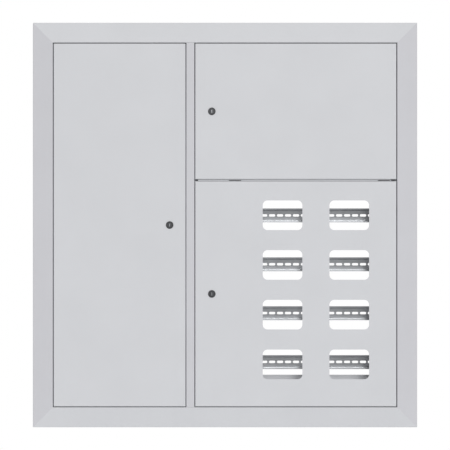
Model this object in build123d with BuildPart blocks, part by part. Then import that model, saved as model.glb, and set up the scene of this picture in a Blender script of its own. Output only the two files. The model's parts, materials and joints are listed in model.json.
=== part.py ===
from build123d import *
import os

# Floor distribution board, flush mounted in a wall: a folded sheet-steel box without a back sheet, a sloping
# trim frame and three doors on concealed hinges. Millimetres, +X to the right seen from the front, +Z up,
# the front towards -Y. The origin is at the centre of the four wall fixings, on the wall plane.

# Overall
board_width = 950.0
board_height = 1000.0
board_depth = 140.0
sheet = 1.2
bend_radius = 1.8

# Trim frame
trim_face = 50.0
trim_fall = 7.0
trim_rim = 12.0
stop_depth = 25.0
stop_lip = 14.0

# Left door and centre stile
left_door_width = 325.5
stile_width = 20.0
stile_lip = 7.5

# Box
box_margin = 35.0
front_flange = 27.0
back_rim_tall = 83.0
back_rim_side = 60.0
fixing_spacing_x = 700.0
fixing_spacing_z = 850.0
fixing_bore = 9.0
cable_port_depth = 60.0
left_port_width = 200.0
right_port_width = 90.0

# Partition and shelf
seam_flange = 15.0
cable_slot_length = 100.0
cable_slot_width = 35.0
partition_slot_pitch = 360.0
nose_setback = 3.0
nose_gap = 0.6
nose_leg = 18.0
nose_margin = 1.2
nose_notch = 30.0
nose_notch_left_inset = 98.2
nose_notch_right_inset = 30.4
shelf_lip = 12.0

# Doors
door_gap = 2.0
door_flange = 15.0
divider_z = 110.5
divider_gap = 5.0
stiffener_width = 30.0
stiffener_depth = 10.0
stiffener_foot = 12.0
stiffener_margin = 60.0

# Windows in the lower right door
window_width = 97.9
window_height = 73.1
window_radius = 12.0
window_columns = 2
window_rows = 4
window_pitch_x = 164.7
window_pitch_z = 122.7
window_right_margin = 67.3
window_bottom_margin = 67.45

# Locks
left_lock_inset = 39.0
right_lock_inset = 41.0
lock_head_radius = 9.25
lock_head_proud = 2.0
lock_body_radius = 8.0
lock_body_length = 24.0
lock_fit = 0.1
plug_radius = 5.5
plug_fit = 0.2
plug_recess = 0.4
keyway_width = 1.6
keyway_height = 8.0
keyway_depth = 12.0
nut_radius = 12.7
nut_thickness = 4.0
cam_reach = 39.0
cam_width = 13.0
cam_eye_radius = 9.0
cam_thickness = 2.0
cam_clearance = 0.5
cam_square = 7.0
cam_fit = 0.1
cam_screw_bore = 2.1
cam_screw_shank = 2.0
cam_screw_length = 6.0
cam_screw_head_radius = 5.0
cam_screw_head = 2.8

# Concealed hinges
hinge_inset = 14.0
hinge_setback = 6.0
knuckle_radius = 3.5
knuckle_half = 7.0
leaf_half = 20.0
leaf_reach = 30.0
hinge_plate = 2.0
hinge_gap = 0.3
pin_radius = 2.0
pin_fit = 0.15
pin_head_radius = 3.2
pin_head = 1.0
hinge_notch_half = 22.0
left_hinge_pitch = 340.0
upper_hinge_pitch = 200.0
lower_hinge_pitch = 400.0

# Meter compartment
rail_height = 35.0
rail_crest = 27.0
rail_depth = 7.5
rail_sheet = 1.0
rail_bend = 0.8
meter_rail_length = 140.0
slot_length = 16.0
slot_height = 6.2
slot_pitch = 20.0
meter_slots = 7
rail_pitch_x = 168.4
rail_shift = 1.8
post_setback = 76.0
post_width = 24.0
post_depth = 20.0
post_foot = 30.0
post_offset = 69.0
rail_screw_offset = 65.0
rail_screw_radius = 2.0
rail_screw_head_radius = 4.0
rail_screw_head = 2.4

# Breaker compartment
breaker_rail_length = 400.0
breaker_post_offset = 190.0
breaker_pitch = 150.0

# Mounting strips of the left compartment
strip_pitch = 640.0
strip_slots = 5
strip_slot_pitch = 60.0

# Neutral and earth bars
bar_length = 200.0
bar_width = 12.0
bar_thickness = 7.0
bar_y = -70.0
neutral_z = -20.0
earth_z = -350.0
bar_holes = 6
bar_hole_radius = 2.6
insulator_height = 20.0
insulator_radius = 8.0
insulator_margin = 12.0
bar_screw_head = 2.0
bar_screw_radius = 2.5
bar_screw_head_radius = 4.5

# Earth stud
stud_x = 0.0
stud_y = -40.0
stud_radius = 4.0
stud_length = 25.0
stud_nut_radius = 7.5
stud_nut_height = 6.5

# Derived sizes and places
face_y = -board_depth
stop_y = face_y + stop_depth
wall_front = stop_y + sheet
opening_x = board_width / 2 - trim_face
opening_z = board_height / 2 - trim_face
box_x = board_width / 2 - box_margin
box_z = board_height / 2 - box_margin
inner_x = box_x - sheet
inner_z = box_z - sheet
stile_x = -opening_x + door_gap + left_door_width + door_gap + stile_width / 2
stile_left = stile_x - stile_width / 2
stile_right = stile_x + stile_width / 2
partition_left = stile_right - 2 * sheet
partition_right = partition_left + sheet
nose_thickness = 2 * sheet + nose_gap
shelf_top = divider_z + nose_thickness / 2
shelf_under = shelf_top - sheet
nose_left = stile_right + stile_lip + nose_margin
nose_right = opening_x - stop_lip - nose_margin
nose_front = face_y + nose_setback
wall_inner = wall_front + sheet
post_front = face_y + post_setback
lock_y = face_y - lock_head_proud
cam_front = wall_front + cam_clearance
cam_back = cam_front + cam_thickness
axis_y = face_y + hinge_setback
hinge_x = opening_x - door_gap - hinge_inset
door_inner = face_y + sheet
left_middle = (partition_left - inner_x) / 2
right_middle = (partition_right + inner_x) / 2
breaker_middle = (shelf_top + inner_z) / 2

side_planes = {
    "right": Plane((0, 0, 0), x_dir=(1, 0, 0), z_dir=(0, 0, 1)),
    "left": Plane((0, 0, 0), x_dir=(-1, 0, 0), z_dir=(0, 0, -1)),
    "top": Plane((0, 0, 0), x_dir=(0, 0, 1), z_dir=(-1, 0, 0)),
    "bottom": Plane((0, 0, 0), x_dir=(0, 0, -1), z_dir=(1, 0, 0)),
}

# Each door's left, right, bottom and top edge
door_top = opening_z - door_gap
left_door_span = (-opening_x + door_gap, stile_left - door_gap)
right_door_span = (stile_right + door_gap, opening_x - door_gap)
door_spans = {
    "left": (*left_door_span, -door_top, door_top),
    "upper": (*right_door_span, divider_z + divider_gap / 2, door_top),
    "lower": (*right_door_span, -door_top, divider_z - divider_gap / 2),
}


def middle(low, high):
    return (low + high) / 2


def door_middle(door):
    left, right, bottom, top = door_spans[door]
    return middle(left, right), middle(bottom, top)


lock_places = {
    "left": (door_spans["left"][1] - left_lock_inset, door_middle("left")[1]),
    "upper": (door_spans["upper"][0] + right_lock_inset, door_middle("upper")[1]),
    "lower": (door_spans["lower"][0] + right_lock_inset, door_middle("lower")[1]),
}

hinge_heights = {
    "left": [door_middle("left")[1] + step * left_hinge_pitch for step in (-1, 0, 1)],
    "upper": [door_middle("upper")[1] + step * upper_hinge_pitch / 2 for step in (-1, 1)],
    "lower": [door_middle("lower")[1] + step * lower_hinge_pitch / 2 for step in (-1, 1)],
}

hinge_sides = {"left": -1, "upper": 1, "lower": 1}

# Middle of the group of windows, the rails behind each column of them, and the notches of the shelf's nose
windows_half_x = window_width / 2 + window_pitch_x * (window_columns - 1) / 2
windows_half_z = window_height / 2 + window_pitch_z * (window_rows - 1) / 2
windows_x = right_door_span[1] - window_right_margin - windows_half_x
windows_z = -door_top + window_bottom_margin + windows_half_z
first_rail_x = windows_x - rail_shift - rail_pitch_x * (window_columns - 1) / 2
rail_columns = [first_rail_x + column * rail_pitch_x for column in range(window_columns)]
nose_notches = [right_door_span[0] + nose_notch_left_inset, right_door_span[1] - nose_notch_right_inset]


def folded_sheet(plane, path, length, thickness=sheet, bend=None):
    """A sheet with one face on the path, to both sides of the plane. The bend is one radius or a list."""
    with BuildPart() as piece:
        with BuildSketch(plane):
            with BuildLine():
                if bend:
                    FilletPolyline(*path, radius=bend)
                else:
                    Polyline(*path)
                offset(amount=thickness, side=Side.LEFT, kind=Kind.INTERSECTION)
            make_face()
        extrude(amount=length / 2, both=True)
    return piece.part


def cut_box(x_span, y_span, z_span):
    """Takes a box between the given limits out of the piece that is being made."""
    with Locations((middle(*x_span), middle(*y_span), middle(*z_span))):
        Box(
            abs(x_span[1] - x_span[0]),
            abs(y_span[1] - y_span[0]),
            abs(z_span[1] - z_span[0]),
            mode=Mode.SUBTRACT,
        )


def add_box(x_span, y_span, z_span):
    """Adds a box between the given limits to the piece that is being made."""
    with Locations((middle(*x_span), middle(*y_span), middle(*z_span))):
        Box(abs(x_span[1] - x_span[0]), abs(y_span[1] - y_span[0]), abs(z_span[1] - z_span[0]))


# Trim frame
def trim_member(side, reach, along):
    """One member of the trim frame, mitred at both ends: sloping face, outer rim, inner return, stop lip."""
    plane = side_planes[side]
    path = [
        (reach - stop_lip, stop_y),
        (reach, stop_y),
        (reach, face_y),
        (reach + trim_face, face_y + trim_fall),
        (reach + trim_face, face_y + trim_fall + trim_rim),
    ]
    blank = folded_sheet(plane, path, 2 * (along + trim_face), bend=bend_radius)
    with BuildPart() as member:
        add(blank)
        for end in (1, -1):
            corner = plane.x_dir * reach + plane.z_dir * (end * along)
            split(bisect_by=Plane(corner, z_dir=plane.z_dir * end - plane.x_dir), keep=Keep.BOTTOM)
    return member


trim_right = trim_member("right", opening_x, opening_z)
trim_left = trim_member("left", opening_x, opening_z)
trim_top = trim_member("top", opening_z, opening_x)
trim_bottom = trim_member("bottom", opening_z, opening_x)

# Centre stile: a hat section between the top and bottom trim, coped at the trim's lips and bends
stile_path = [
    (stile_left - stile_lip, stop_y),
    (stile_left, stop_y),
    (stile_left, face_y),
    (stile_right, face_y),
    (stile_right, stop_y),
    (stile_right + stile_lip, stop_y),
]
stile_blank = folded_sheet(Plane.XY, stile_path, 2 * opening_z, bend=bend_radius)
stile_reach = stile_width / 2 + stile_lip
with BuildPart() as centre_stile:
    add(stile_blank)
    for end in (1, -1):
        cut_box(
            (stile_x - stile_reach, stile_x + stile_reach),
            (stop_y, wall_front),
            (end * (opening_z - stop_lip), end * opening_z),
        )
        cut_box(
            (stile_x - stile_reach, stile_x + stile_reach),
            (stop_y - bend_radius, stop_y),
            (end * (opening_z - bend_radius), end * opening_z),
        )


# Box walls
def wall_blank(side, reach, back_rim, length):
    """A box wall with its front flange and back rim."""
    path = [
        (reach - front_flange, wall_front),
        (reach, wall_front),
        (reach, 0),
        (reach - back_rim, 0),
    ]
    return folded_sheet(side_planes[side], path, length)


def end_wall(side, end):
    """The top or bottom wall, with wall fixings in its back rim and cable ports clear of the posts."""
    blank = wall_blank(side, box_z, back_rim_tall, 2 * box_x)
    with BuildPart() as wall:
        add(blank)
        with BuildSketch(Plane.XZ):
            with Locations((0, end * fixing_spacing_z / 2)):
                with GridLocations(fixing_spacing_x, 0, 2, 1):
                    Circle(fixing_bore / 2)
        extrude(amount=sheet, mode=Mode.SUBTRACT)
        with BuildSketch(Plane.XY.offset(end * middle(inner_z, box_z))):
            with Locations((left_middle, wall_front / 2)):
                RectangleRounded(left_port_width, cable_port_depth, radius=bend_radius)
            with Locations(*[(rail_x, wall_front / 2) for rail_x in rail_columns]):
                RectangleRounded(right_port_width, cable_port_depth, radius=bend_radius)
        extrude(amount=sheet, both=True, mode=Mode.SUBTRACT)
        for side_end in (1, -1):
            cut_box(
                (side_end * inner_x, side_end * box_x),
                (wall_front, 0),
                (end * (box_z - back_rim_tall), end * inner_z),
            )
    return wall


def side_wall(side, end):
    """The left or right wall, between the end walls, with its flanges cut back where theirs lie."""
    blank = wall_blank(side, box_x, back_rim_side, 2 * inner_z)
    with BuildPart() as wall:
        add(blank)
        for up in (1, -1):
            cut_box(
                (end * (box_x - back_rim_side), end * inner_x),
                (-sheet, 0),
                (up * (box_z - back_rim_tall), up * inner_z),
            )
            cut_box(
                (end * (box_x - front_flange), end * inner_x),
                (wall_front, wall_inner),
                (up * (box_z - front_flange), up * inner_z),
            )
    return wall


box_top = end_wall("top", 1)
box_bottom = end_wall("bottom", -1)
box_right = side_wall("right", 1)
box_left = side_wall("left", -1)

# Partition between the left and the right compartments, its nose inside the stile
nose_half = opening_z - stop_lip
with BuildPart() as partition:
    add_box((partition_left, partition_right), (wall_inner, -sheet), (-inner_z, inner_z))
    add_box((partition_left, partition_right), (face_y + stop_lip, wall_inner), (-nose_half, nose_half))
    add_box(
        (partition_left, partition_left + seam_flange),
        (-sheet, 0),
        (-box_z + back_rim_tall, box_z - back_rim_tall),
    )
    for up in (1, -1):
        add_box(
            (partition_left, partition_right + seam_flange),
            (wall_inner, -sheet),
            (up * (inner_z - sheet), up * inner_z),
        )
    with BuildSketch(Plane.YZ.offset(partition_left)):
        with GridLocations(0, partition_slot_pitch, 1, 2):
            with Locations((wall_front / 2, 0)):
                SlotOverall(cable_slot_length, cable_slot_width, rotation=90)
    extrude(amount=sheet, mode=Mode.SUBTRACT)

# Shelf between the right compartments: its nose closes the gap between their doors with an open hem,
# and a strip across it stops both doors
with BuildPart() as shelf:
    add_box((partition_right, inner_x), (wall_inner, -sheet), (shelf_under, shelf_top))
    add_box((nose_left, nose_right), (nose_front, wall_inner), (shelf_under, shelf_top))
    add_box(
        (nose_left, nose_right),
        (nose_front, nose_front + nose_leg),
        (shelf_top - nose_thickness, shelf_top - nose_thickness + sheet),
    )
    add_box(
        (nose_left, nose_right),
        (nose_front, nose_front + sheet),
        (shelf_top - nose_thickness, shelf_top),
    )
    hem_edges = edges().filter_by(Axis.X).group_by(Axis.Y)[0]
    fillet(hem_edges, radius=sheet / 2)
    for notch_x in nose_notches:
        cut_box(
            (notch_x - nose_notch / 2, notch_x + nose_notch / 2),
            (nose_front, nose_front + nose_leg),
            (shelf_top - nose_thickness, shelf_under),
        )
    for flange_x in ((partition_right, partition_right + sheet), (inner_x - sheet, inner_x)):
        add_box(flange_x, (wall_inner, -sheet), (shelf_under - seam_flange, shelf_under))
    add_box((partition_right, inner_x), (-2 * sheet, -sheet), (shelf_under - seam_flange, shelf_under))
    add_box((nose_left, nose_right), (stop_y, wall_front), (shelf_under - shelf_lip, shelf_top + shelf_lip))
    with BuildSketch(Plane.XY.offset(shelf_under)):
        with Locations(*[(rail_x, wall_front / 2) for rail_x in rail_columns]):
            SlotOverall(cable_slot_length, cable_slot_width)
    extrude(amount=sheet, mode=Mode.SUBTRACT)


# Doors
def door_pan(door):
    """A folded pan with its hinge-side flange notched at the hinges and a hole for the lock."""
    left, right, bottom, top = door_spans[door]
    side = hinge_sides[door]
    edge_x = right if side > 0 else left
    with BuildPart() as pan:
        with BuildSketch(Plane.XZ.offset(-face_y - door_flange)):
            with Locations((middle(left, right), middle(bottom, top))):
                Rectangle(right - left, top - bottom)
        extrude(amount=door_flange)
        front = faces().sort_by(Axis.Y)[0]
        fillet(front.edges(), radius=bend_radius)
        offset(amount=-sheet, openings=faces().sort_by(Axis.Y)[-1])
        for height in hinge_heights[door]:
            cut_box(
                (edge_x - 2 * side * sheet, edge_x),
                (door_inner, face_y + door_flange),
                (height - hinge_notch_half, height + hinge_notch_half),
            )
        with BuildSketch(Plane.XZ.offset(-face_y)):
            with Locations(lock_places[door]):
                Circle(lock_body_radius + lock_fit)
        extrude(amount=-sheet, mode=Mode.SUBTRACT)
    return pan


left_door = door_pan("left")
upper_door = door_pan("upper")
lower_pan = door_pan("lower")
with BuildPart() as lower_door:
    add(lower_pan.part)
    with BuildSketch(Plane.XZ.offset(-face_y)):
        with Locations((windows_x, windows_z)):
            with GridLocations(window_pitch_x, window_pitch_z, window_columns, window_rows):
                RectangleRounded(window_width, window_height, radius=window_radius)
    extrude(amount=-sheet, mode=Mode.SUBTRACT)


def stiffener(centre_x, bottom, top):
    """A hat section spot-welded upright to the inner face of a door."""
    half = stiffener_width / 2
    path = [
        (half + stiffener_foot, door_inner + sheet),
        (half, door_inner + sheet),
        (half, door_inner + stiffener_depth),
        (-half, door_inner + stiffener_depth),
        (-half, door_inner + sheet),
        (-half - stiffener_foot, door_inner + sheet),
    ]
    plane = Plane((centre_x, 0, middle(bottom, top)), x_dir=(1, 0, 0), z_dir=(0, 0, 1))
    blank = folded_sheet(plane, path, top - bottom - 2 * stiffener_margin)
    with BuildPart() as piece:
        add(blank)
    return piece


left_stiffener = stiffener(door_middle("left")[0], *door_spans["left"][2:])
lower_stiffener = stiffener(windows_x, *door_spans["lower"][2:])


# Locks
def lock_body(door):
    """Threaded barrel with a round head that stands proud of the door."""
    plane = Plane.XZ.offset(-lock_y)
    with BuildPart() as body:
        with BuildSketch(plane):
            with Locations(lock_places[door]):
                Circle(lock_head_radius)
        extrude(amount=-lock_head_proud)
        chamfer(faces().sort_by(Axis.Y)[0].edges(), length=lock_head_proud / 3)
        with BuildSketch(Plane.XZ.offset(-face_y)):
            with Locations(lock_places[door]):
                Circle(lock_body_radius)
        extrude(amount=-lock_body_length)
        with BuildSketch(plane):
            with Locations(lock_places[door]):
                Circle(plug_radius + plug_fit)
        extrude(amount=-lock_head_proud - lock_body_length, mode=Mode.SUBTRACT)
    return body


def lock_nut(door):
    """Hexagon nut that clamps the barrel against the back of the door sheet."""
    with BuildPart() as nut:
        with BuildSketch(Plane.XZ.offset(-door_inner)):
            with Locations(lock_places[door]):
                RegularPolygon(radius=nut_radius, side_count=6)
                Circle(lock_body_radius + lock_fit, mode=Mode.SUBTRACT)
        extrude(amount=-nut_thickness)
    return nut


def lock_plug(door):
    """Turning core with its keyway, a collar behind the barrel and a square end for the cam."""
    front = lock_y + plug_recess
    barrel_end = face_y + lock_body_length
    collar = cam_front - barrel_end - plug_fit
    with BuildPart() as plug:
        with BuildSketch(Plane.XZ.offset(-front)):
            with Locations(lock_places[door]):
                Circle(plug_radius)
        extrude(amount=front - cam_front)
        with BuildSketch(Plane.XZ.offset(-cam_front)):
            with Locations(lock_places[door]):
                Circle(lock_body_radius)
        extrude(amount=collar)
        with BuildSketch(Plane.XZ.offset(-cam_front)):
            with Locations(lock_places[door]):
                Rectangle(cam_square, cam_square)
        extrude(amount=-cam_thickness)
        with BuildSketch(Plane.XZ.offset(-front)):
            with Locations(lock_places[door]):
                Rectangle(keyway_width, keyway_height)
        extrude(amount=-keyway_depth, mode=Mode.SUBTRACT)
        with BuildSketch(Plane.XZ.offset(-cam_back)):
            with Locations(lock_places[door]):
                Circle(cam_screw_bore)
        extrude(amount=cam_screw_length, mode=Mode.SUBTRACT)
    return plug


def cam(door):
    """Flat cam on the square of the plug, hanging down while the door is unlocked."""
    x, z = lock_places[door]
    with BuildPart() as plate:
        with BuildSketch(Plane.XZ.offset(-cam_front)) as outline:
            with Locations((x, z - cam_reach / 2)):
                Rectangle(cam_width, cam_reach)
            fillet(outline.vertices().group_by(Axis.Y)[0], radius=cam_width / 3)
            with Locations((x, z)):
                Circle(cam_eye_radius)
                Rectangle(cam_square + 2 * cam_fit, cam_square + 2 * cam_fit, mode=Mode.SUBTRACT)
        extrude(amount=-cam_thickness)
    return plate


def cam_screw(door):
    """Hexagon screw in the end of the plug that holds the cam on."""
    with BuildPart() as screw:
        with BuildSketch(Plane.XZ.offset(-cam_back)):
            with Locations(lock_places[door]):
                RegularPolygon(radius=cam_screw_head_radius, side_count=6)
        extrude(amount=-cam_screw_head)
        with BuildSketch(Plane.XZ.offset(-cam_back)):
            with Locations(lock_places[door]):
                Circle(cam_screw_shank)
        extrude(amount=cam_screw_length - plug_fit)
    return screw


# Concealed hinges, made for the right side with the pin's middle at the origin
knuckle_top = knuckle_half + hinge_gap
pin_top = leaf_half + hinge_gap

with BuildPart() as bracket_form:
    with BuildSketch(Plane.XY):
        Circle(knuckle_radius)
        with Locations((-knuckle_radius, 0)):
            Rectangle(hinge_plate, stop_y - axis_y, align=(Align.MIN, Align.MIN))
        Circle(pin_radius + pin_fit, mode=Mode.SUBTRACT)
    extrude(amount=knuckle_half, both=True)
    with BuildSketch(Plane.XY):
        with Locations((-knuckle_radius, stop_y - axis_y)):
            Rectangle(
                knuckle_radius + opening_x - hinge_x - hinge_plate,
                hinge_plate,
                align=(Align.MIN, Align.MAX),
            )
    extrude(amount=leaf_half, both=True)

with BuildPart() as pin_form:
    with BuildSketch(Plane.XY.offset(-leaf_half)):
        Circle(pin_radius)
    extrude(amount=leaf_half + pin_top)
    with BuildSketch(Plane.XY.offset(pin_top)):
        Circle(pin_head_radius)
    extrude(amount=pin_head)

with BuildPart() as leaf_form:
    with BuildSketch(Plane.XY):
        Circle(knuckle_radius)
        with Locations((0, door_inner - axis_y)):
            Rectangle(leaf_reach, hinge_plate, align=(Align.MAX, Align.MIN))
        Circle(pin_radius + pin_fit, mode=Mode.SUBTRACT)
    extrude(amount=leaf_half, both=True)
    cut_box(
        (-knuckle_radius - 2 * hinge_plate, knuckle_radius),
        (door_inner - axis_y, knuckle_radius),
        (-knuckle_top, knuckle_top),
    )

right_forms = {"bracket": bracket_form.part, "pin": pin_form.part, "leaf": leaf_form.part}
left_forms = {name: mirror(form, about=Plane.YZ) for name, form in right_forms.items()}


def hinge_set(form, doors):
    """Copies of one hinge part at every hinge of the given doors."""
    with BuildPart() as copies:
        for door in doors:
            side = hinge_sides[door]
            forms = right_forms if side > 0 else left_forms
            with Locations(*[(side * hinge_x, axis_y, height) for height in hinge_heights[door]]):
                add(forms[form])
    return copies


hinge_brackets = hinge_set("bracket", hinge_sides)
hinge_pins = hinge_set("pin", hinge_sides)


# Rails, posts and strips
def hat_rail(centre_x, centre_z, length, pitch, slots):
    """A 35 mm hat rail with a row of slots, whose crest lies against the posts."""
    lip_y = post_front - rail_depth + rail_sheet
    path = [
        (lip_y, -rail_height / 2),
        (lip_y, -rail_crest / 2),
        (post_front, -rail_crest / 2),
        (post_front, rail_crest / 2),
        (lip_y, rail_crest / 2),
        (lip_y, rail_height / 2),
    ]
    plane = Plane((centre_x, 0, centre_z), x_dir=(0, 1, 0), z_dir=(1, 0, 0))
    bends = [rail_bend, rail_bend + rail_sheet, rail_bend + rail_sheet, rail_bend]
    blank = folded_sheet(plane, path, length, thickness=rail_sheet, bend=bends)
    with BuildPart() as rail:
        add(blank)
        with BuildSketch(Plane.XZ.offset(-post_front)):
            with Locations((centre_x, centre_z)):
                with GridLocations(pitch, 0, slots, 1):
                    SlotOverall(slot_length, slot_height)
        extrude(amount=rail_sheet, mode=Mode.SUBTRACT)
    return rail


def channel(plane, length, slots=0):
    """A channel with a foot at each end, its web in the front and its length along the plane's z axis."""
    half = post_width / 2
    back = post_front + post_depth
    path = [(-half, back), (-half, post_front), (half, post_front), (half, back)]
    blank = folded_sheet(plane, path, length)
    foot_middle = middle(post_front + sheet, post_front + post_foot)
    slot_plane = Plane(plane.origin + plane.y_dir * post_front, x_dir=plane.z_dir, z_dir=-plane.y_dir)
    with BuildPart() as post:
        add(blank)
        for end in (1, -1):
            foot_plane = Plane(
                plane.origin + plane.z_dir * (end * length / 2), x_dir=plane.x_dir, z_dir=plane.z_dir * -end
            )
            foot_y = foot_middle if foot_plane.y_dir.dot(plane.y_dir) > 0 else -foot_middle
            with BuildSketch(foot_plane):
                with Locations((0, foot_y)):
                    Rectangle(post_width - 2 * sheet, post_foot - sheet)
            extrude(amount=sheet)
        if slots:
            with BuildSketch(slot_plane):
                with GridLocations(strip_slot_pitch, 0, slots, 1):
                    SlotOverall(slot_length, slot_height)
            extrude(amount=-sheet, mode=Mode.SUBTRACT)
    return post


def upright(centre_x, bottom, top):
    return channel(Plane((centre_x, 0, middle(bottom, top)), x_dir=(1, 0, 0), z_dir=(0, 0, 1)), top - bottom)


def cross_strip(height):
    plane = Plane((left_middle, 0, height), x_dir=(0, 0, -1), z_dir=(1, 0, 0))
    return channel(plane, partition_left + inner_x, strip_slots)


meter_posts = {}
for column, rail_x in enumerate(rail_columns):
    for offset_index, step in enumerate((-1, 1)):
        number = 2 * column + offset_index + 1
        meter_posts[f"meter_post_{number}"] = upright(rail_x + step * post_offset, -inner_z, shelf_under)

meter_rails = {}
rail_screw_points = []
for row in range(window_rows):
    row_z = windows_z + ((window_rows - 1) / 2 - row) * window_pitch_z
    for column, rail_x in enumerate(rail_columns):
        number = window_columns * row + column + 1
        meter_rails[f"meter_rail_{number}"] = hat_rail(
            rail_x, row_z, meter_rail_length, slot_pitch, meter_slots
        )
        rail_screw_points += [(rail_x - rail_screw_offset, row_z), (rail_x + rail_screw_offset, row_z)]

breaker_posts = {}
breaker_rails = {}
for index, step in enumerate((-1, 1)):
    post_x = right_middle + step * breaker_post_offset
    breaker_posts[f"breaker_post_{index + 1}"] = upright(post_x, shelf_top, inner_z)
    rail_z = breaker_middle - step * breaker_pitch / 2
    breaker_rails[f"breaker_rail_{index + 1}"] = hat_rail(
        right_middle, rail_z, breaker_rail_length, 2 * breaker_post_offset, 2
    )
    rail_screw_points += [
        (right_middle - breaker_post_offset, rail_z),
        (right_middle + breaker_post_offset, rail_z),
    ]

with BuildPart() as rail_screws:
    with BuildSketch(Plane.XZ.offset(-post_front + rail_sheet)):
        with Locations(*rail_screw_points):
            RegularPolygon(radius=rail_screw_head_radius, side_count=6)
    extrude(amount=rail_screw_head)
    with BuildSketch(Plane.XZ.offset(-post_front + rail_sheet)):
        with Locations(*rail_screw_points):
            Circle(rail_screw_radius)
    extrude(amount=-rail_sheet)

mounting_strips = {
    "mounting_strip_1": cross_strip(strip_pitch / 2),
    "mounting_strip_2": cross_strip(-strip_pitch / 2),
}


# Neutral and earth bars on the partition, each on two insulators
bar_left = partition_right + insulator_height
insulator_points = [
    (bar_y, bar_z + step * (bar_length / 2 - insulator_margin))
    for bar_z in (neutral_z, earth_z)
    for step in (-1, 1)
]


def terminal_bar(centre_z):
    """A terminal bar with a row of cable holes and a screw at each end into its insulator."""
    hole_pitch = (bar_length - 4 * insulator_margin) / (bar_holes - 1)
    with BuildPart() as bar:
        add_box(
            (bar_left, bar_left + bar_thickness),
            (bar_y - bar_width / 2, bar_y + bar_width / 2),
            (centre_z - bar_length / 2, centre_z + bar_length / 2),
        )
        with BuildSketch(Plane.YZ.offset(bar_left)):
            with Locations((bar_y, centre_z)):
                with GridLocations(0, hole_pitch, 1, bar_holes):
                    Circle(bar_hole_radius)
                with GridLocations(0, bar_length - 2 * insulator_margin, 1, 2):
                    Circle(bar_hole_radius)
        extrude(amount=bar_thickness, mode=Mode.SUBTRACT)
    return bar


neutral_bar = terminal_bar(neutral_z)
earth_bar = terminal_bar(earth_z)

with BuildPart() as bar_insulators:
    with BuildSketch(Plane.YZ.offset(partition_right)):
        with Locations(*insulator_points):
            Circle(insulator_radius)
    extrude(amount=insulator_height)

with BuildPart() as bar_screws:
    with BuildSketch(Plane.YZ.offset(bar_left + bar_thickness)):
        with Locations(*insulator_points):
            Circle(bar_screw_head_radius)
    extrude(amount=bar_screw_head)
    with BuildSketch(Plane.YZ.offset(bar_left)):
        with Locations(*insulator_points):
            Circle(bar_screw_radius)
    extrude(amount=bar_thickness)

# Earth stud with its nut, welded to the floor of the box
with BuildPart() as earth_stud:
    with BuildSketch(Plane.XY.offset(-inner_z)):
        with Locations((stud_x, stud_y)):
            Circle(stud_radius)
    extrude(amount=stud_length)
    with BuildSketch(Plane.XY.offset(-inner_z)):
        with Locations((stud_x, stud_y)):
            RegularPolygon(radius=stud_nut_radius, side_count=6)
    extrude(amount=stud_nut_height)

pieces = {
    "trim_top": trim_top,
    "trim_bottom": trim_bottom,
    "trim_left": trim_left,
    "trim_right": trim_right,
    "centre_stile": centre_stile,
    "box_top": box_top,
    "box_bottom": box_bottom,
    "box_left": box_left,
    "box_right": box_right,
    "partition": partition,
    "shelf": shelf,
    "left_door": left_door,
    "upper_door": upper_door,
    "lower_door": lower_door,
    "left_stiffener": left_stiffener,
    "lower_stiffener": lower_stiffener,
    "hinge_brackets": hinge_brackets,
    "hinge_pins": hinge_pins,
    "rail_screws": rail_screws,
    "neutral_bar": neutral_bar,
    "earth_bar": earth_bar,
    "bar_insulators": bar_insulators,
    "bar_screws": bar_screws,
    "earth_stud": earth_stud,
    **meter_posts,
    **meter_rails,
    **breaker_posts,
    **breaker_rails,
    **mounting_strips,
}
for door in door_spans:
    pieces[f"{door}_hinge_leaves"] = hinge_set("leaf", [door])
    pieces[f"{door}_lock_body"] = lock_body(door)
    pieces[f"{door}_lock_nut"] = lock_nut(door)
    pieces[f"{door}_lock_plug"] = lock_plug(door)
    pieces[f"{door}_cam"] = cam(door)
    pieces[f"{door}_cam_screw"] = cam_screw(door)

os.makedirs("parts", exist_ok=True)
for name, piece in pieces.items():
    piece.part.label = name
    export_step(piece.part, f"parts/{name}.step")
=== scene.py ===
import json
import math

import bmesh
import bpy
from mathutils import Matrix, Vector


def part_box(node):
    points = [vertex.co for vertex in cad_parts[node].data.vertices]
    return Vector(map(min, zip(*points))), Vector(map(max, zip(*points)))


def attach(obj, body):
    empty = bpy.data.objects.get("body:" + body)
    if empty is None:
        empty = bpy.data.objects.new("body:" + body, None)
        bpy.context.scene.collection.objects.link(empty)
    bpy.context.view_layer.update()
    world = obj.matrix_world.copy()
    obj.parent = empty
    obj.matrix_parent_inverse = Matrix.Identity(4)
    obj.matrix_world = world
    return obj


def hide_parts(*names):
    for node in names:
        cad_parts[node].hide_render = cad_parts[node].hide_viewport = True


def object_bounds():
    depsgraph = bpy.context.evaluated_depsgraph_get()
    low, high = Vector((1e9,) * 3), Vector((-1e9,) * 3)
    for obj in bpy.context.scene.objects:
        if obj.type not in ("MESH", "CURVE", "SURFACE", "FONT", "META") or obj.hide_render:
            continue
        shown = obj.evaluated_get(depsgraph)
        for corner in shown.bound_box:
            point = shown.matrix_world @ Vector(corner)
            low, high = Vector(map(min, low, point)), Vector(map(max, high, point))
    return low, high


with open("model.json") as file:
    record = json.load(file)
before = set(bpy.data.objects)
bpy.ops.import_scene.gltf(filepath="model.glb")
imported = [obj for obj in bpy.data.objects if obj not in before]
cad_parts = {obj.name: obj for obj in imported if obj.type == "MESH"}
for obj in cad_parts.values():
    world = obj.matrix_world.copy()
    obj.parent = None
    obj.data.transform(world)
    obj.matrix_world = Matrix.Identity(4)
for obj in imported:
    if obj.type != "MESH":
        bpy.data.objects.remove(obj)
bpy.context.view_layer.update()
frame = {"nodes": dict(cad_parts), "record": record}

MM = 0.001
DOORS = ("left", "upper", "lower")
STIFFENED_DOORS = ("left", "lower")
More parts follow.
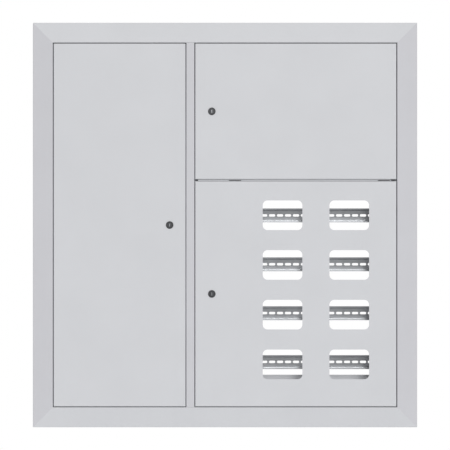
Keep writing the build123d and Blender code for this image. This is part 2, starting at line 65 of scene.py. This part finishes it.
UPRIGHTS = ("trim_left", "trim_right", "centre_stile")
METER_RAILS = "meter_rail_"
OUT, IN = (0.0, -1.0, 0.0), (0.0, 1.0, 0.0)
RIGHT, UP = (1.0, 0.0, 0.0), (0.0, 0.0, 1.0)
SHEET = 1.2 * MM
LENGTH, VECTOR = "NodeSocketFloat", "NodeSocketVector"

# Rail screws: half their distance on each kind of rail, and their hexagon heads with a flange
RAIL_SCREW_OFFSETS = {"meter_rail": 65.0 * MM, "breaker_rail": 190.0 * MM}
RAIL_SHEET = 1.0 * MM
SCREW_CORNERS = 3.9 * MM
SCREW_HEAD = 2.4 * MM
SCREW_FLANGE = 4.4 * MM

# Screws that hold the cams on, and those of the terminal bars
CAM_SCREW_CORNERS = 4.8 * MM
CAM_SCREW_HEAD = 2.8 * MM
BAR_SCREW_RADIUS = 4.4 * MM
BAR_SCREW_HEAD = 2.0 * MM
BAR_END_MARGIN = 12.0 * MM
TERMINAL_COUNT = 6
TERMINAL_MARGIN = 2 * BAR_END_MARGIN
TERMINAL_RADIUS = 2.7 * MM
TERMINAL_HEAD = 1.6 * MM

# Proportions of a hexagon head: heights as shares of the head, widths as shares of what they stand on
HEXAGON = 6
ROUND = 32
WASHER_HEIGHT = 0.28
WASHER_TOP = 0.9
FLATS_HEIGHT = 0.57
CROWN_HEIGHT = 0.15
CROWN_TOP = 0.82
CROSS_LENGTH = 1.1
CROSS_WIDTH = 0.22

# Proportions of a slotted round head
RIM_HEIGHT = 0.75
ROUND_CROWN_HEIGHT = 0.25
ROUND_CROWN_TOP = 0.86
SLOT_LENGTH = 3.0
SLOT_WIDTH = 0.3

# Threads: points on one turn, and the ridge's corners and its radius as a share of the pitch
THREAD_STEPS = 28
RIDGE_CORNERS = 3
RIDGE_RADIUS = 0.4
LOCK_BARREL_RADIUS = 8.0 * MM
LOCK_PITCH = 1.5 * MM
STUD_RADIUS = 4.0 * MM
STUD_PITCH = 1.25 * MM
STUD_NUT = 6.5 * MM

# Insulators of the terminal bars: radius and height of the turned profile, as shares of the whole
INSULATOR_RADIUS = 8.0 * MM
INSULATOR_PROFILE = [
    (0.8, 0.0), (0.98, 0.03), (0.98, 0.14), (0.78, 0.2), (0.78, 0.3), (0.98, 0.37), (0.98, 0.46),
    (0.78, 0.53), (0.78, 0.63), (0.98, 0.7), (0.98, 0.8), (0.7, 0.88), (0.7, 1.0),
]
TURNED_SIDES = 40

# Shutters in the keyways
SHUTTER_WIDTH = 1.3 * MM
SHUTTER_HEIGHT = 7.6 * MM
SHUTTER_DEPTH = 1.1 * MM
SHUTTER_THICKNESS = 0.5 * MM
SHUTTER_BEVEL = SHUTTER_THICKNESS / 4
SHUTTER_BEVEL_STEPS = 2

# Spot welds on the stiffeners
SPOT_RADIUS = 2.8 * MM
SPOT_RISE = 0.18 * MM
SPOT_PITCH = 62.0 * MM
SPOT_INSET = 6.0 * MM
SPOT_SEGMENTS = 14
SPOT_RINGS = 8

# Camera: square on the middle of the board, far away
VIEW_WIDTH = 1.1105
CAMERA_DISTANCE = 4.1
SENSOR = 36.0
DOOR_FACE_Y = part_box("left_door")[0][1]

# Floor, well below the board and ending a little behind it
FLOOR_HALF = 3.0
FLOOR_BACK = 0.6
FLOOR_DROP = 0.35
FLOOR_ROUGHNESS = 0.9

# Light: an even surround that the camera sees as white, a large soft lamp in front, a little to the right
# and above, and one behind the board
WORLD_LIGHT = 0.34
WORLD_WHITE = 1.0
KEY_PLACE = (1.6, -13.5, 4.6)
KEY_SIZE = 5.5
KEY_POWER = 1225.0
BACK_PLACE = (-3.5, 9.0, 4.5)
BACK_SIZE = 5.0
BACK_POWER = 520.0

# Lamps that light nodes behind the windows alone: the start of the node names, place, size and power
INNER_LAMPS = {
    "rail_lamp_above": (METER_RAILS, (0.7, -8.3, 5.2), 1.8, 1050.0),
    "rail_lamp_right": (METER_RAILS, (8.2, -7.2, 1.0), 4.0, 640.0),
    "rim_lamp": ("box_bottom", (0.6, -9.0, 0.6), 2.0, 230.0),
}

# Colours as they are seen, in sRGB
PAINT = (209, 210, 213)
# The cabinet paint made darker for the side trims and the centre stile: painted shade, not a different paint
SHADED_UPRIGHT_PAINT = (203, 203, 207)
INNER_PAINT = (204, 205, 208)
STRIP_STEEL = (170, 172, 175)
ZINC = (188, 190, 192)
LOCK_DARK = (54, 55, 57)
LOCK_CORE = (60, 61, 64)
SHUTTER_STEEL = (132, 133, 135)
BRASS = (214, 182, 110)
INSULATOR = (168, 62, 44)
FLOOR_GREY = (226, 227, 229)


def linear(colour):
    """An sRGB colour of 0 to 255 as the linear RGBA that a shader takes."""
    channels = [c / 255 for c in colour]
    return (*[c / 12.92 if c <= 0.04045 else ((c + 0.055) / 1.055) ** 2.4 for c in channels], 1.0)


# Materials
class Finish:
    """A material with one Principled shader, and short calls for the nodes that feed it."""

    def __init__(self, name):
        self.material = bpy.data.materials.new(name)
        self.material.use_nodes = True
        self.tree = self.material.node_tree
        self.shader = self.tree.nodes["Principled BSDF"]
        self.place = self.tree.nodes.new("ShaderNodeTexCoord").outputs["Object"]

    def set(self, **values):
        for key, value in values.items():
            self.shader.inputs[key.replace("_", " ")].default_value = value

    def add(self, kind, source, socket, **values):
        """A node of this kind with the source in the socket and the values in others."""
        node = self.tree.nodes.new(kind)
        self.tree.links.new(source, node.inputs[socket])
        for key, value in values.items():
            node.inputs[key.replace("_", " ")].default_value = value
        return node

    def stretched(self, scale):
        """The place on the object, scaled along X, Y and Z."""
        return self.add("ShaderNodeMapping", self.place, "Vector", Scale=scale).outputs["Vector"]

    def noise(self, place, scale, detail, roughness=0.5):
        node = self.add("ShaderNodeTexNoise", place, "Vector",
                        Scale=scale, Detail=detail, Roughness=roughness)
        return node.outputs["Fac"]

    def cells(self, place, scale):
        return self.add("ShaderNodeTexVoronoi", place, "Vector", Scale=scale).outputs["Color"]

    def colour(self, source, base, dark, light, edge=0.3):
        """The base colour times dark to light, as the source goes from edge to 1 - edge."""
        node = self.add("ShaderNodeValToRGB", source, "Fac")
        for stop, position, factor in zip(node.color_ramp.elements, (edge, 1 - edge), (dark, light)):
            stop.position = position
            stop.color = (*[channel * factor for channel in linear(base)[:3]], 1.0)
        self.tree.links.new(node.outputs["Color"], self.shader.inputs["Base Color"])

    def roughness(self, source, low, high):
        node = self.add("ShaderNodeMapRange", source, "Value", To_Min=low, To_Max=high)
        self.tree.links.new(node.outputs["Result"], self.shader.inputs["Roughness"])

    def bump(self, height, distance):
        node = self.add("ShaderNodeBump", height, "Height", Distance=distance)
        self.tree.links.new(node.outputs["Normal"], self.shader.inputs["Normal"])


def powder_coat(name, base):
    """Smooth powder coat: a faint orange peel and hardly any change of tone."""
    finish = Finish(name)
    finish.colour(finish.noise(finish.place, scale=9.0, detail=3.0), base, dark=0.985, light=1.012)
    peel = finish.noise(finish.place, scale=420.0, detail=1.0)
    finish.roughness(peel, low=0.54, high=0.64)
    finish.bump(peel, distance=0.04 * MM)
    finish.set(Specular_IOR_Level=0.25)
    return finish.material


def zinc_strip(name, base):
    """Cold-rolled strip with a bright zinc coat: fine lines along the rolling direction."""
    finish = Finish(name)
    lines = finish.noise(finish.stretched((6, 900, 900)), scale=1.0, detail=4.0, roughness=0.65)
    finish.colour(lines, base, dark=0.86, light=1.06, edge=0.25)
    finish.roughness(finish.cells(finish.place, scale=260.0), low=0.30, high=0.42)
    finish.bump(lines, distance=0.03 * MM)
    finish.set(Metallic=0.55, Specular_IOR_Level=0.3)
    return finish.material


def zinc_plate(name, base):
    """Thin zinc plating on small parts, with a slight cloudiness."""
    finish = Finish(name)
    cloud = finish.noise(finish.place, scale=160.0, detail=3.0)
    finish.colour(cloud, base, dark=0.9, light=1.05)
    finish.roughness(cloud, low=0.28, high=0.42)
    finish.set(Metallic=0.95)
    return finish.material


def dark_casting(name, base, metallic):
    """Dark coated die casting with a fine satin grain."""
    finish = Finish(name)
    grain = finish.noise(finish.place, scale=1500.0, detail=2.0)
    finish.colour(grain, base, dark=0.88, light=1.1)
    finish.roughness(grain, low=0.34, high=0.48)
    finish.bump(grain, distance=0.02 * MM)
    finish.set(Metallic=metallic, Specular_IOR_Level=0.25)
    return finish.material


def drawn_brass(name, base):
    """Drawn brass bar, with fine lines along Z."""
    finish = Finish(name)
    lines = finish.noise(finish.stretched((900, 900, 8)), scale=1.0, detail=3.0)
    finish.colour(lines, base, dark=0.88, light=1.05)
    finish.roughness(lines, low=0.25, high=0.38)
    finish.set(Metallic=1.0)
    return finish.material


def moulded_plastic(name, base):
    """Dull moulded plastic with a fine grain."""
    finish = Finish(name)
    grain = finish.noise(finish.place, scale=700.0, detail=2.0)
    finish.colour(grain, base, dark=0.93, light=1.05)
    finish.roughness(grain, low=0.45, high=0.6)
    finish.bump(grain, distance=0.03 * MM)
    return finish.material


finishes = {
    "cabinet_paint": powder_coat("cabinet_paint", PAINT),
    "inner_paint": powder_coat("inner_paint", INNER_PAINT),
    "galvanised_steel": zinc_strip("galvanised_steel", STRIP_STEEL),
    "zinc_plate": zinc_plate("zinc_plate", ZINC),
    "lock_dark": dark_casting("lock_dark", LOCK_DARK, metallic=0.0),
    "lock_core": dark_casting("lock_core", LOCK_CORE, metallic=0.4),
    "brass": drawn_brass("brass", BRASS),
    "insulator_plastic": moulded_plastic("insulator_plastic", INSULATOR),
    "shutter_steel": zinc_plate("shutter_steel", SHUTTER_STEEL),
    # Darker copy of the cabinet paint, painted shade on the side trims and the centre stile
    "shaded_upright_paint": powder_coat("shaded_upright_paint", SHADED_UPRIGHT_PAINT),
}
for subpart in frame["record"]["subparts"]:
    node = frame["nodes"][subpart["node"]]
    # The side trims and the centre stile take the darker copy of the paint, as painted shade
    slot = "shaded_upright_paint" if subpart["node"] in UPRIGHTS else subpart["material_slot"]
    node.data.materials.clear()
    node.data.materials.append(finishes[slot])


# Geometry node trees
class Tree:
    """A geometry node tree with named inputs, which works on the mesh of the object that it is given to."""

    def __init__(self, name, sizes):
        self.group = bpy.data.node_groups.new(name, "GeometryNodeTree")
        self.group.interface.new_socket("Geometry", in_out="INPUT", socket_type="NodeSocketGeometry")
        self.names = {}
        for label, (kind, value) in sizes.items():
            socket = self.group.interface.new_socket(label, in_out="INPUT", socket_type=kind)
            socket.default_value = value
            self.names[label] = socket.identifier
        self.group.interface.new_socket("Geometry", in_out="OUTPUT", socket_type="NodeSocketGeometry")
        self.start = self.group.nodes.new("NodeGroupInput")
        self.end = self.group.nodes.new("NodeGroupOutput")

    def size(self, label):
        return self.start.outputs[label]

    def add(self, kind, inputs=None, **settings):
        node = self.group.nodes.new(kind)
        for key, value in settings.items():
            setattr(node, key, value)
        for key, value in (inputs or {}).items():
            if isinstance(value, bpy.types.NodeSocket):
                self.group.links.new(value, node.inputs[key])
            else:
                node.inputs[key].default_value = value
        return node

    def math(self, operation, first, second):
        return self.add("ShaderNodeMath", {0: first, 1: second}, operation=operation).outputs[0]

    def share(self, whole, part):
        return self.math("MULTIPLY", whole, part)

    def cone(self, sides, low_radius, high_radius, height, low):
        """A closed cone frustum along Z, standing at the height low. Sizes may be sockets or numbers."""
        shape = self.add("GeometryNodeMeshCone", {"Vertices": sides, "Radius Bottom": low_radius,
                                                  "Radius Top": high_radius, "Depth": height})
        return self.raise_to(shape.outputs["Mesh"], low)

    def raise_to(self, shape, height):
        place = self.add("ShaderNodeCombineXYZ", {"Z": height}).outputs[0]
        return self.add("GeometryNodeTransform", {"Geometry": shape, "Translation": place}).outputs[0]

    def fuse(self, *shapes):
        """One closed shell of shapes that stand on each other."""
        node = self.add("GeometryNodeMeshBoolean", operation="UNION", solver="EXACT")
        for shape in shapes:
            self.group.links.new(shape, node.inputs["Mesh 2"])
        return node.outputs["Mesh"]

    def cut(self, shape, tool):
        node = self.add("GeometryNodeMeshBoolean", operation="DIFFERENCE", solver="EXACT")
        self.group.links.new(shape, node.inputs["Mesh 1"])
        self.group.links.new(tool, node.inputs["Mesh 2"])
        return node.outputs["Mesh"]

    def bar(self, length, width, depth, height):
        """A bar across the axis, for slots and recesses, with its middle at the given height."""
        extent = self.add("ShaderNodeCombineXYZ", {"X": length, "Y": width, "Z": depth}).outputs[0]
        return self.raise_to(self.add("GeometryNodeMeshCube", {"Size": extent}).outputs["Mesh"], height)

    def spread(self, shape, material):
        """The shape at every point of the object's mesh, turned from Z to the direction, as a plain mesh."""
        turned = self.add("FunctionNodeAlignRotationToVector", {"Vector": self.size("Direction")}, axis="Z")
        copies = self.add("GeometryNodeInstanceOnPoints",
                          {"Points": self.start.outputs["Geometry"], "Instance": shape,
                           "Rotation": turned.outputs[0]}).outputs[0]
        solid = self.add("GeometryNodeRealizeInstances", {"Geometry": copies}).outputs[0]
        painted = self.add("GeometryNodeSetMaterial", {"Geometry": solid, "Material": material}).outputs[0]
        self.group.links.new(painted, self.end.inputs[0])


def hexagon_screws(material):
    """Hexagon heads with a flange, a chamfered top and a cross recess."""
    tree = Tree("hexagon_screws", {"Corner Radius": (LENGTH, 4 * MM), "Head Height": (LENGTH, 2 * MM),
                                   "Flange Radius": (LENGTH, 5 * MM), "Direction": (VECTOR, OUT)})
    corner, head, flange = tree.size("Corner Radius"), tree.size("Head Height"), tree.size("Flange Radius")
    washer_height = tree.share(head, WASHER_HEIGHT)
    flats_height = tree.share(head, FLATS_HEIGHT)
    washer = tree.cone(ROUND, flange, tree.share(flange, WASHER_TOP), washer_height, 0.0)
    flats = tree.cone(HEXAGON, corner, corner, flats_height, washer_height)
    crown = tree.cone(HEXAGON, corner, tree.share(corner, CROWN_TOP), tree.share(head, CROWN_HEIGHT),
                      tree.math("ADD", washer_height, flats_height))
    screw = tree.fuse(washer, flats, crown)
    arm, width = tree.share(corner, CROSS_LENGTH), tree.share(corner, CROSS_WIDTH)
    for bar in (tree.bar(arm, width, head, head), tree.bar(width, arm, head, head)):
        screw = tree.cut(screw, bar)
    tree.spread(screw, material)
    return tree


def slotted_screws(material):
    """Round heads with a chamfered top and one slot right across."""
    tree = Tree("slotted_screws", {"Head Radius": (LENGTH, 4 * MM), "Head Height": (LENGTH, 2 * MM),
                                   "Direction": (VECTOR, OUT)})
    radius, head = tree.size("Head Radius"), tree.size("Head Height")
    rim_height = tree.share(head, RIM_HEIGHT)
    rim = tree.cone(ROUND, radius, radius, rim_height, 0.0)
    crown = tree.cone(ROUND, radius, tree.share(radius, ROUND_CROWN_TOP),
                      tree.share(head, ROUND_CROWN_HEIGHT), rim_height)
    slot = tree.bar(tree.share(radius, SLOT_LENGTH), tree.share(radius, SLOT_WIDTH), head, head)
    tree.spread(tree.cut(tree.fuse(rim, crown), slot), material)
    return tree


def threads(material):
    """A triangular ridge that climbs round a barrel."""
    tree = Tree("threads", {"Radius": (LENGTH, 4 * MM), "Pitch": (LENGTH, MM), "Length": (LENGTH, 10 * MM),
                            "Direction": (VECTOR, OUT)})
    radius, pitch, length = tree.size("Radius"), tree.size("Pitch"), tree.size("Length")
    spiral = tree.add("GeometryNodeCurveSpiral", {
        "Resolution": THREAD_STEPS, "Rotations": tree.math("DIVIDE", length, pitch),
        "Start Radius": radius, "End Radius": radius, "Height": length})
    ridge = tree.add("GeometryNodeCurvePrimitiveCircle", {
        "Resolution": RIDGE_CORNERS, "Radius": tree.share(pitch, RIDGE_RADIUS)})
    rib = tree.add("GeometryNodeCurveToMesh", {
        "Curve": spiral.outputs[0], "Profile Curve": ridge.outputs[0], "Fill Caps": True})
    tree.spread(rib.outputs[0], material)
    return tree


def weld_spots(material):
    """Shallow round bumps that spot welds leave."""
    tree = Tree("spot_welds", {"Radius": (LENGTH, 3 * MM), "Rise": (LENGTH, MM), "Direction": (VECTOR, OUT)})
    ball = tree.add("GeometryNodeMeshUVSphere", {
        "Segments": SPOT_SEGMENTS, "Rings": SPOT_RINGS, "Radius": tree.size("Radius")})
    flatness = tree.math("DIVIDE", tree.size("Rise"), tree.size("Radius"))
    scale = tree.add("ShaderNodeCombineXYZ", {"X": 1.0, "Y": 1.0, "Z": flatness})
    dome = tree.add("GeometryNodeTransform", {"Geometry": ball.outputs["Mesh"], "Scale": scale.outputs[0]})
    tree.spread(dome.outputs[0], material)
    return tree


def grown(name, tree, points, body, slot, **sizes):
    """A piece that the tree makes at the points, as a plain mesh that rides on the body."""
    seed = bpy.data.meshes.new(name)
    seed.from_pydata(points, [], [])
    piece = bpy.data.objects.new(name, seed)
    bpy.context.scene.collection.objects.link(piece)
    modifier = piece.modifiers.new("shape", "NODES")
    modifier.node_group = tree.group
    for label, value in sizes.items():
        modifier[tree.names[label.replace("_", " ")]] = value
    evaluated = piece.evaluated_get(bpy.context.evaluated_depsgraph_get())
    mesh = bpy.data.meshes.new_from_object(evaluated)
    piece.modifiers.remove(modifier)
    piece.data = mesh
    mesh.name = name
    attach(piece, body)
    return piece


def finished(name, shape, material, body):
    """The bmesh as a piece of one material that rides on the body."""
    mesh = bpy.data.meshes.new(name)
    shape.to_mesh(mesh)
    shape.free()
    mesh.materials.append(material)
    piece = bpy.data.objects.new(name, mesh)
    bpy.context.scene.collection.objects.link(piece)
    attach(piece, body)
    return piece


def turned_parts(name, profile, places, axis, material, body):
    """Parts turned from one profile of (radius, height) points, standing at the places along the axis."""
    shape = bmesh.new()
    turn = Vector(UP).rotation_difference(Vector(axis)).to_matrix().to_4x4()
    for place in places:
        rings = []
        for radius, height in profile:
            ring = []
            for step in range(TURNED_SIDES):
                angle = 2 * math.pi * step / TURNED_SIDES
                point = Vector((radius * math.cos(angle), radius * math.sin(angle), height))
                ring.append(shape.verts.new(Matrix.Translation(place) @ turn @ point))
            rings.append(ring)
        for low, high in zip(rings, rings[1:]):
            for step in range(TURNED_SIDES):
                after = (step + 1) % TURNED_SIDES
                shape.faces.new((low[step], low[after], high[after], high[step]))
        shape.faces.new(reversed(rings[0]))
        shape.faces.new(rings[-1])
    bmesh.ops.recalc_face_normals(shape, faces=shape.faces)
    return finished(name, shape, material, body)


# Hexagon screws, on the rails and on the cams
def box_middle(node):
    low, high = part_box(node)
    return tuple((a + b) / 2 for a, b in zip(low, high))


def rail_screw_places():
    places = []
    for name in frame["nodes"]:
        offset = RAIL_SCREW_OFFSETS.get(name.rsplit("_", 1)[0])
        if offset:
            x, _, z = box_middle(name)
            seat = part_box(name)[1][1] - RAIL_SHEET
            places += [(x - offset, seat, z), (x + offset, seat, z)]
    return places


zinc = finishes["zinc_plate"]
hexagons = hexagon_screws(zinc)
screws = grown("hexagon_rail_screws", hexagons, rail_screw_places(), "cabinet", "zinc_plate",
               Corner_Radius=SCREW_CORNERS, Head_Height=SCREW_HEAD, Flange_Radius=SCREW_FLANGE, Direction=OUT)
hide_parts("rail_screws")
for door in DOORS:
    x, _, z = box_middle(f"{door}_cam_screw")
    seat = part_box(f"{door}_cam")[1][1]
    screw = grown(f"{door}_cam_hexagon", hexagons, [(x, seat, z)], f"{door}_lock", "zinc_plate",
                  Corner_Radius=CAM_SCREW_CORNERS, Head_Height=CAM_SCREW_HEAD,
                  Flange_Radius=CAM_SCREW_CORNERS, Direction=IN)
    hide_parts(f"{door}_cam_screw")

# Terminal bars: slotted screws into the insulators, and a row of clamping screws on the front edge
slotted = slotted_screws(zinc)
fixing_places = []
clamp_places = []
for bar in ("neutral_bar", "earth_bar"):
    low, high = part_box(bar)
    x, y, z = box_middle(bar)
    half = (high[2] - low[2]) / 2
    fixing_places += [(high[0], y, z + side * (half - BAR_END_MARGIN)) for side in (-1, 1)]
    pitch = 2 * (half - TERMINAL_MARGIN) / (TERMINAL_COUNT - 1)
    clamp_places += [(x, low[1], z + (step - (TERMINAL_COUNT - 1) / 2) * pitch)
                     for step in range(TERMINAL_COUNT)]
bar_screws = grown("slotted_bar_screws", slotted, fixing_places, "cabinet", "zinc_plate",
                   Head_Radius=BAR_SCREW_RADIUS, Head_Height=BAR_SCREW_HEAD, Direction=RIGHT)
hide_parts("bar_screws")
grown("terminal_screws", slotted, clamp_places, "cabinet", "zinc_plate",
      Head_Radius=TERMINAL_RADIUS, Head_Height=TERMINAL_HEAD, Direction=OUT)

# Insulators of the terminal bars: ribbed moulded drums
foot, top = (corner[0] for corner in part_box("bar_insulators"))
drum = [(radius * INSULATOR_RADIUS, height * (top - foot)) for radius, height in INSULATOR_PROFILE]
drum_places = [(foot, y, z) for _, y, z in fixing_places]
drums = turned_parts("ribbed_insulators", drum, drum_places, RIGHT, finishes["insulator_plastic"], "cabinet")
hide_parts("bar_insulators")

# Threads of the lock barrels behind their nuts, and of the earth stud above its nut
barrel_threads = threads(finishes["lock_dark"])
for door in DOORS:
    x, _, z = box_middle(f"{door}_lock_body")
    nut_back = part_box(f"{door}_lock_nut")[1][1]
    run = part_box(f"{door}_lock_body")[1][1] - nut_back - LOCK_PITCH
    grown(f"{door}_barrel_thread", barrel_threads, [(x, nut_back + LOCK_PITCH / 2, z)],
          f"{door}_leaf", "lock_dark",
          Radius=LOCK_BARREL_RADIUS, Pitch=LOCK_PITCH, Length=run, Direction=IN)
low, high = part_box("earth_stud")
x, y, _ = box_middle("earth_stud")
nut_top = low[2] + STUD_NUT
grown("stud_thread", threads(zinc), [(x, y, nut_top + STUD_PITCH / 2)], "cabinet", "zinc_plate",
      Radius=STUD_RADIUS, Pitch=STUD_PITCH, Length=high[2] - nut_top - STUD_PITCH, Direction=UP)

# Shutters that close the keyways
for door in DOORS:
    x, _, z = box_middle(f"{door}_lock_plug")
    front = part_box(f"{door}_lock_plug")[0][1] + SHUTTER_DEPTH
    middle = Matrix.Translation((x, front + SHUTTER_THICKNESS / 2, z))
    extent = Matrix.Diagonal((SHUTTER_WIDTH, SHUTTER_THICKNESS, SHUTTER_HEIGHT, 1.0))
    shape = bmesh.new()
    bmesh.ops.create_cube(shape, size=1.0, matrix=middle @ extent)
    bmesh.ops.bevel(shape, geom=shape.edges[:], offset=SHUTTER_BEVEL, segments=SHUTTER_BEVEL_STEPS,
                    affect="EDGES")
    finished(f"{door}_shutter", shape, finishes["shutter_steel"], f"{door}_lock")

# Spot welds on the feet of the door stiffeners
spots = weld_spots(finishes["inner_paint"])
for door in STIFFENED_DOORS:
    low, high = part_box(f"{door}_stiffener")
    count = int((high[2] - low[2]) / SPOT_PITCH)
    margin = (high[2] - low[2] - (count - 1) * SPOT_PITCH) / 2
    places = [(x, low[1] + SHEET, low[2] + margin + step * SPOT_PITCH)
              for x in (low[0] + SPOT_INSET, high[0] - SPOT_INSET) for step in range(count)]
    grown(f"{door}_spot_welds", spots, places, f"{door}_leaf", "inner_paint",
          Radius=SPOT_RADIUS, Rise=SPOT_RISE, Direction=IN)


# Surroundings
def plain_stage():
    """A pale floor, low enough that the front view has none of it."""
    floor_material = bpy.data.materials.new("floor_grey")
    floor_material.use_nodes = True
    shader = floor_material.node_tree.nodes["Principled BSDF"]
    shader.inputs["Base Color"].default_value = linear(FLOOR_GREY)
    shader.inputs["Roughness"].default_value = FLOOR_ROUGHNESS
    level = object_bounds()[0][2] - FLOOR_DROP
    corners = [(-FLOOR_HALF, -FLOOR_HALF, level), (FLOOR_HALF, -FLOOR_HALF, level),
               (FLOOR_HALF, FLOOR_BACK, level), (-FLOOR_HALF, FLOOR_BACK, level)]
    mesh = bpy.data.meshes.new("floor")
    mesh.from_pydata(corners, [], [(0, 1, 2, 3)])
    floor = bpy.data.objects.new("floor", mesh)
    bpy.context.scene.collection.objects.link(floor)
    floor.data.materials.append(floor_material)


def soft_world():
    """Even light from all round; the background itself shows white to the camera and in reflections."""
    world = bpy.data.worlds.new("studio")
    bpy.context.scene.world = world
    world.use_nodes = True
    tree = world.node_tree
    background = tree.nodes["Background"]
    path = tree.nodes.new("ShaderNodeLightPath")
    shown = path.outputs["Is Camera Ray"]
    for ray in ("Is Glossy Ray", "Is Transmission Ray"):
        either = tree.nodes.new("ShaderNodeMath")
        either.operation = "MAXIMUM"
        tree.links.new(shown, either.inputs[0])
        tree.links.new(path.outputs[ray], either.inputs[1])
        shown = either.outputs[0]
    strength = tree.nodes.new("ShaderNodeMapRange")
    strength.inputs["To Min"].default_value = WORLD_LIGHT
    strength.inputs["To Max"].default_value = WORLD_WHITE
    tree.links.new(shown, strength.inputs["Value"])
    background.inputs["Color"].default_value = (1, 1, 1, 1)
    tree.links.new(strength.outputs["Result"], background.inputs["Strength"])


def area_lamp(name, place, size, power):
    """A square lamp that looks at the middle of the board."""
    data = bpy.data.lights.new(name, "AREA")
    data.size = size
    data.energy = power
    lamp = bpy.data.objects.new(name, data)
    lamp.location = place
    lamp.rotation_euler = (-Vector(place)).to_track_quat("-Z", "Y").to_euler()
    bpy.context.scene.collection.objects.link(lamp)
    return lamp


def light_only(lamp, start, state):
    """Makes the lamp light the nodes whose names start so (INCLUDE), or all the others (EXCLUDE)."""
    receivers = bpy.data.collections.new(f"{lamp.name}_{state.lower()}")
    for name, node in frame["nodes"].items():
        if name.startswith(start):
            receivers.objects.link(node)
    for entry in receivers.collection_objects:
        entry.light_linking.link_state = state
    lamp.light_linking.receiver_collection = receivers


def camera():
    """A long lens that looks along Y at the middle of the board."""
    data = bpy.data.cameras.new("camera")
    data.sensor_width = SENSOR
    data.lens = SENSOR * CAMERA_DISTANCE / VIEW_WIDTH
    lens = bpy.data.objects.new("camera", data)
    lens.location = (0, DOOR_FACE_Y - CAMERA_DISTANCE, 0)
    lens.rotation_euler = (math.radians(90), 0, 0)
    bpy.context.scene.collection.objects.link(lens)
    bpy.context.scene.camera = lens


plain_stage()
soft_world()
light_only(area_lamp("key_lamp", KEY_PLACE, KEY_SIZE, KEY_POWER), METER_RAILS, "EXCLUDE")
area_lamp("back_lamp", BACK_PLACE, BACK_SIZE, BACK_POWER)
for name, (start, place, size, power) in INNER_LAMPS.items():
    light_only(area_lamp(name, place, size, power), start, "INCLUDE")
camera()
bpy.context.scene.view_settings.view_transform = "Standard"
